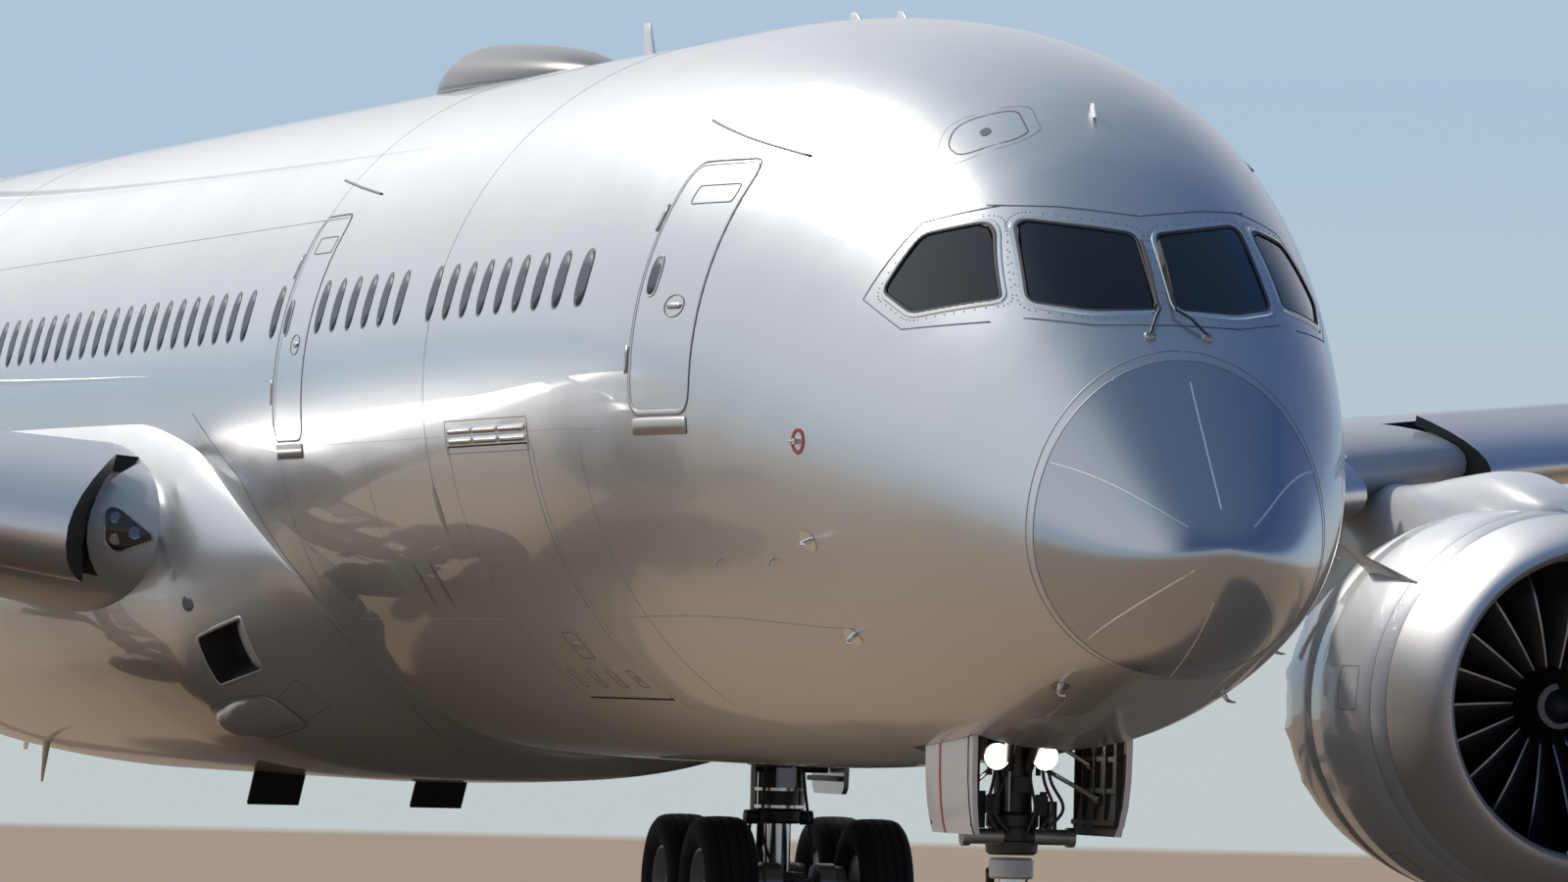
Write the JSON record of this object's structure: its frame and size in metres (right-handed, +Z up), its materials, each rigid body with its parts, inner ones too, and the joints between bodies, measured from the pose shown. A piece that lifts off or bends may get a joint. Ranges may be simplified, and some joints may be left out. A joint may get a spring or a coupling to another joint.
{
  "type": "scale model of a wide body twin engine airliner",
  "caption": "Wide body airliner on its gear at half size, with turning wheels and fans, steering, control surfaces, slats, flaps and cargo doors.",
  "frame": {"origin": "on the ground below the middle of the airliner's box", "axes": "+X to the nose, +Y to port, +Z up"},
  "size_m": [31.405, 30.06, 8.51],
  "materials": {
    "body_paint": "glossy silver mica",
    "wing_paint": "satin grey",
    "nacelle_paint": "glossy grey",
    "leading_edge": "polished",
    "cockpit_glass": "dark and clear",
    "titanium": "heat tinted",
    "fan_blade": "dark composite",
    "gear_paint": "satin light grey",
    "tyre": "matt"
  },
  "bodies": {
    "airframe": {"radome": "body_paint", "fuselage_forward": "body_paint", "fuselage_centre": "body_paint", "fuselage_aft": "body_paint", "windshield_left": "cockpit_glass", "windshield_right": "cockpit_glass", "side_window_left": "cockpit_glass", "side_window_right": "cockpit_glass", "satellite_aerial": "body_paint", "wing_body_fairing": "body_paint", "wing_left": "wing_paint", "wing_right": "wing_paint", "stabiliser_left": "wing_paint", "stabiliser_right": "wing_paint", "fin": "body_paint", "nacelle_left": "nacelle_paint", "nacelle_right": "nacelle_paint", "engine_core_left": "titanium", "engine_core_right": "titanium", "pylon_left": "nacelle_paint", "pylon_right": "nacelle_paint", "nose_gear_leg": "gear_paint", "nose_gear_door_left": "body_paint", "nose_gear_door_right": "body_paint", "main_gear_leg_left": "gear_paint", "main_gear_leg_right": "gear_paint"},
    "nose_steering": {"nose_gear_piston": "gear_paint"},
    "nose_wheels": {"nose_wheels": "tyre"},
    "main_wheels_front_left": {"main_wheels_front_left": "tyre"},
    "main_wheels_rear_left": {"main_wheels_rear_left": "tyre"},
    "fan_left": {"fan_left": "fan_blade"},
    "main_wheels_front_right": {"main_wheels_front_right": "tyre"},
    "main_wheels_rear_right": {"main_wheels_rear_right": "tyre"},
    "fan_right": {"fan_right": "fan_blade"},
    "flap_inboard_left": {"flap_inboard_left": "wing_paint"},
    "flap_outboard_left": {"flap_outboard_left": "wing_paint"},
    "flaperon_left": {"flaperon_left": "wing_paint"},
    "aileron_left": {"aileron_left": "wing_paint"},
    "spoilers_inboard_left": {"spoilers_inboard_left": "wing_paint"},
    "spoilers_outboard_left": {"spoilers_outboard_left": "wing_paint"},
    "slat_inboard_left": {"slat_inboard_left": "leading_edge"},
    "slat_outboard_left": {"slat_outboard_left": "leading_edge"},
    "elevator_left": {"elevator_left": "wing_paint"},
    "flap_inboard_right": {"flap_inboard_right": "wing_paint"},
    "flap_outboard_right": {"flap_outboard_right": "wing_paint"},
    "flaperon_right": {"flaperon_right": "wing_paint"},
    "aileron_right": {"aileron_right": "wing_paint"},
    "spoilers_inboard_right": {"spoilers_inboard_right": "wing_paint"},
    "spoilers_outboard_right": {"spoilers_outboard_right": "wing_paint"},
    "slat_inboard_right": {"slat_inboard_right": "leading_edge"},
    "slat_outboard_right": {"slat_outboard_right": "leading_edge"},
    "elevator_right": {"elevator_right": "wing_paint"},
    "rudder": {"rudder": "body_paint"},
    "cargo_door_forward": {"cargo_door_forward": "body_paint"},
    "cargo_door_aft": {"cargo_door_aft": "body_paint"}
  },
  "joints": [
    {"name": "nose_steering", "type": "hinge", "parent": "airframe", "child": "nose_steering", "pos_m": [12.9525, 0, 0.65], "axis": [0, 0, 1], "range_deg": [-70, 70]},
    {"name": "nose_wheels_roll", "type": "hinge", "parent": "nose_steering", "child": "nose_wheels", "pos_m": [12.9525, 0, 0.254], "axis": [0, 1, 0], "continuous": true},
    {"name": "main_wheels_front_left_roll", "type": "hinge", "parent": "airframe", "child": "main_wheels_front_left", "pos_m": [0.3825, 2.45, 0.3425], "axis": [0, 1, 0], "continuous": true},
    {"name": "main_wheels_rear_left_roll", "type": "hinge", "parent": "airframe", "child": "main_wheels_rear_left", "pos_m": [-0.3775, 2.45, 0.3425], "axis": [0, 1, 0], "continuous": true},
    {"name": "fan_left_spin", "type": "hinge", "parent": "airframe", "child": "fan_left", "pos_m": [4.5675, 4.88, 1.31], "axis": [1, 0, 0], "continuous": true},
    {"name": "main_wheels_front_right_roll", "type": "hinge", "parent": "airframe", "child": "main_wheels_front_right", "pos_m": [0.3825, -2.45, 0.3425], "axis": [0, 1, 0], "continuous": true},
    {"name": "main_wheels_rear_right_roll", "type": "hinge", "parent": "airframe", "child": "main_wheels_rear_right", "pos_m": [-0.3775, -2.45, 0.3425], "axis": [0, 1, 0], "continuous": true},
    {"name": "fan_right_spin", "type": "hinge", "parent": "airframe", "child": "fan_right", "pos_m": [4.5675, -4.88, 1.31], "axis": [1, 0, 0], "continuous": true},
    {"name": "flap_inboard_left_hinge", "type": "hinge", "parent": "airframe", "child": "flap_inboard_left", "pos_m": [-0.39398, 1.875, 1.50722], "axis": [0.099, -0.9844, -0.1457], "range_deg": [0, 35]},
    {"name": "flap_outboard_left_hinge", "type": "hinge", "parent": "airframe", "child": "flap_outboard_left", "pos_m": [-1.00375, 5.65, 2.03198], "axis": [0.4111, -0.9053, -0.1064], "range_deg": [0, 35]},
    {"name": "flaperon_left_hinge", "type": "hinge", "parent": "airframe", "child": "flaperon_left", "pos_m": [-0.67579, 4.55, 2.40042], "axis": [0.2337, -0.965, -0.119], "range_deg": [-20, 35]},
    {"name": "aileron_left_hinge", "type": "hinge", "parent": "airframe", "child": "aileron_left", "pos_m": [-3.14472, 10.175, 3.06742], "axis": [0.4147, -0.901, -0.1271], "range_deg": [-25, 20]},
    {"name": "spoilers_inboard_left_hinge", "type": "hinge", "parent": "airframe", "child": "spoilers_inboard_left", "pos_m": [0.16027, 2.05, 2.29645], "axis": [-0.0988, 0.9872, 0.1253], "range_deg": [0, 60]},
    {"name": "spoilers_outboard_left_hinge", "type": "hinge", "parent": "airframe", "child": "spoilers_outboard_left", "pos_m": [-0.64393, 5.8, 2.71946], "axis": [-0.4115, 0.9062, 0.0969], "range_deg": [0, 60]},
    {"name": "slat_inboard_left_hinge", "type": "hinge", "parent": "airframe", "child": "slat_inboard_left", "pos_m": [4.03875, 1.81947, 1.10287], "axis": [-0.5542, 0.8233, 0.1228], "range_deg": [-14, 8]},
    {"name": "slat_outboard_left_hinge", "type": "hinge", "parent": "airframe", "child": "slat_outboard_left", "pos_m": [1.80369, 5.22493, 1.87367], "axis": [-0.5769, 0.8099, 0.1057], "range_deg": [-14, 8]},
    {"name": "elevator_left_hinge", "type": "hinge", "parent": "airframe", "child": "elevator_left", "pos_m": [-13.24944, 0.875, 3.34468], "axis": [0.4429, -0.8916, -0.0941], "range_deg": [-28, 22]},
    {"name": "flap_inboard_right_hinge", "type": "hinge", "parent": "airframe", "child": "flap_inboard_right", "pos_m": [-0.39398, -1.875, 1.50722], "axis": [-0.099, -0.9844, 0.1457], "range_deg": [0, 35]},
    {"name": "flap_outboard_right_hinge", "type": "hinge", "parent": "airframe", "child": "flap_outboard_right", "pos_m": [-1.00375, -5.65, 2.03198], "axis": [-0.4111, -0.9053, 0.1064], "range_deg": [0, 35]},
    {"name": "flaperon_right_hinge", "type": "hinge", "parent": "airframe", "child": "flaperon_right", "pos_m": [-0.67579, -4.55, 2.40042], "axis": [-0.2337, -0.965, 0.119], "range_deg": [-20, 35]},
    {"name": "aileron_right_hinge", "type": "hinge", "parent": "airframe", "child": "aileron_right", "pos_m": [-3.14472, -10.175, 3.06742], "axis": [-0.4147, -0.901, 0.1271], "range_deg": [-25, 20]},
    {"name": "spoilers_inboard_right_hinge", "type": "hinge", "parent": "airframe", "child": "spoilers_inboard_right", "pos_m": [0.16027, -2.05, 2.29645], "axis": [0.0988, 0.9872, -0.1253], "range_deg": [0, 60]},
    {"name": "spoilers_outboard_right_hinge", "type": "hinge", "parent": "airframe", "child": "spoilers_outboard_right", "pos_m": [-0.64393, -5.8, 2.71946], "axis": [0.4115, 0.9062, -0.0969], "range_deg": [0, 60]},
    {"name": "slat_inboard_right_hinge", "type": "hinge", "parent": "airframe", "child": "slat_inboard_right", "pos_m": [4.03875, -1.81947, 1.10287], "axis": [0.5542, 0.8233, -0.1228], "range_deg": [-14, 8]},
    {"name": "slat_outboard_right_hinge", "type": "hinge", "parent": "airframe", "child": "slat_outboard_right", "pos_m": [1.80369, -5.22493, 1.87367], "axis": [0.5769, 0.8099, -0.1057], "range_deg": [-14, 8]},
    {"name": "elevator_right_hinge", "type": "hinge", "parent": "airframe", "child": "elevator_right", "pos_m": [-13.24944, -0.875, 3.34468], "axis": [-0.4429, -0.8916, 0.0941], "range_deg": [-28, 22]},
    {"name": "rudder_hinge", "type": "hinge", "parent": "airframe", "child": "rudder", "pos_m": [-12.56776, 0, 4.375], "axis": [-0.3886, 0, 0.9214], "range_deg": [-25, 25]},
    {"name": "cargo_door_forward_hinge", "type": "hinge", "parent": "airframe", "child": "cargo_door_forward", "pos_m": [10.1625, -1.4275, 2.26], "axis": [-1, 0, 0], "range_deg": [0, 100]},
    {"name": "cargo_door_aft_hinge", "type": "hinge", "parent": "airframe", "child": "cargo_door_aft", "pos_m": [-7.0975, -1.4375, 2.375], "axis": [-1, 0, 0], "range_deg": [0, 100]}
  ]
}
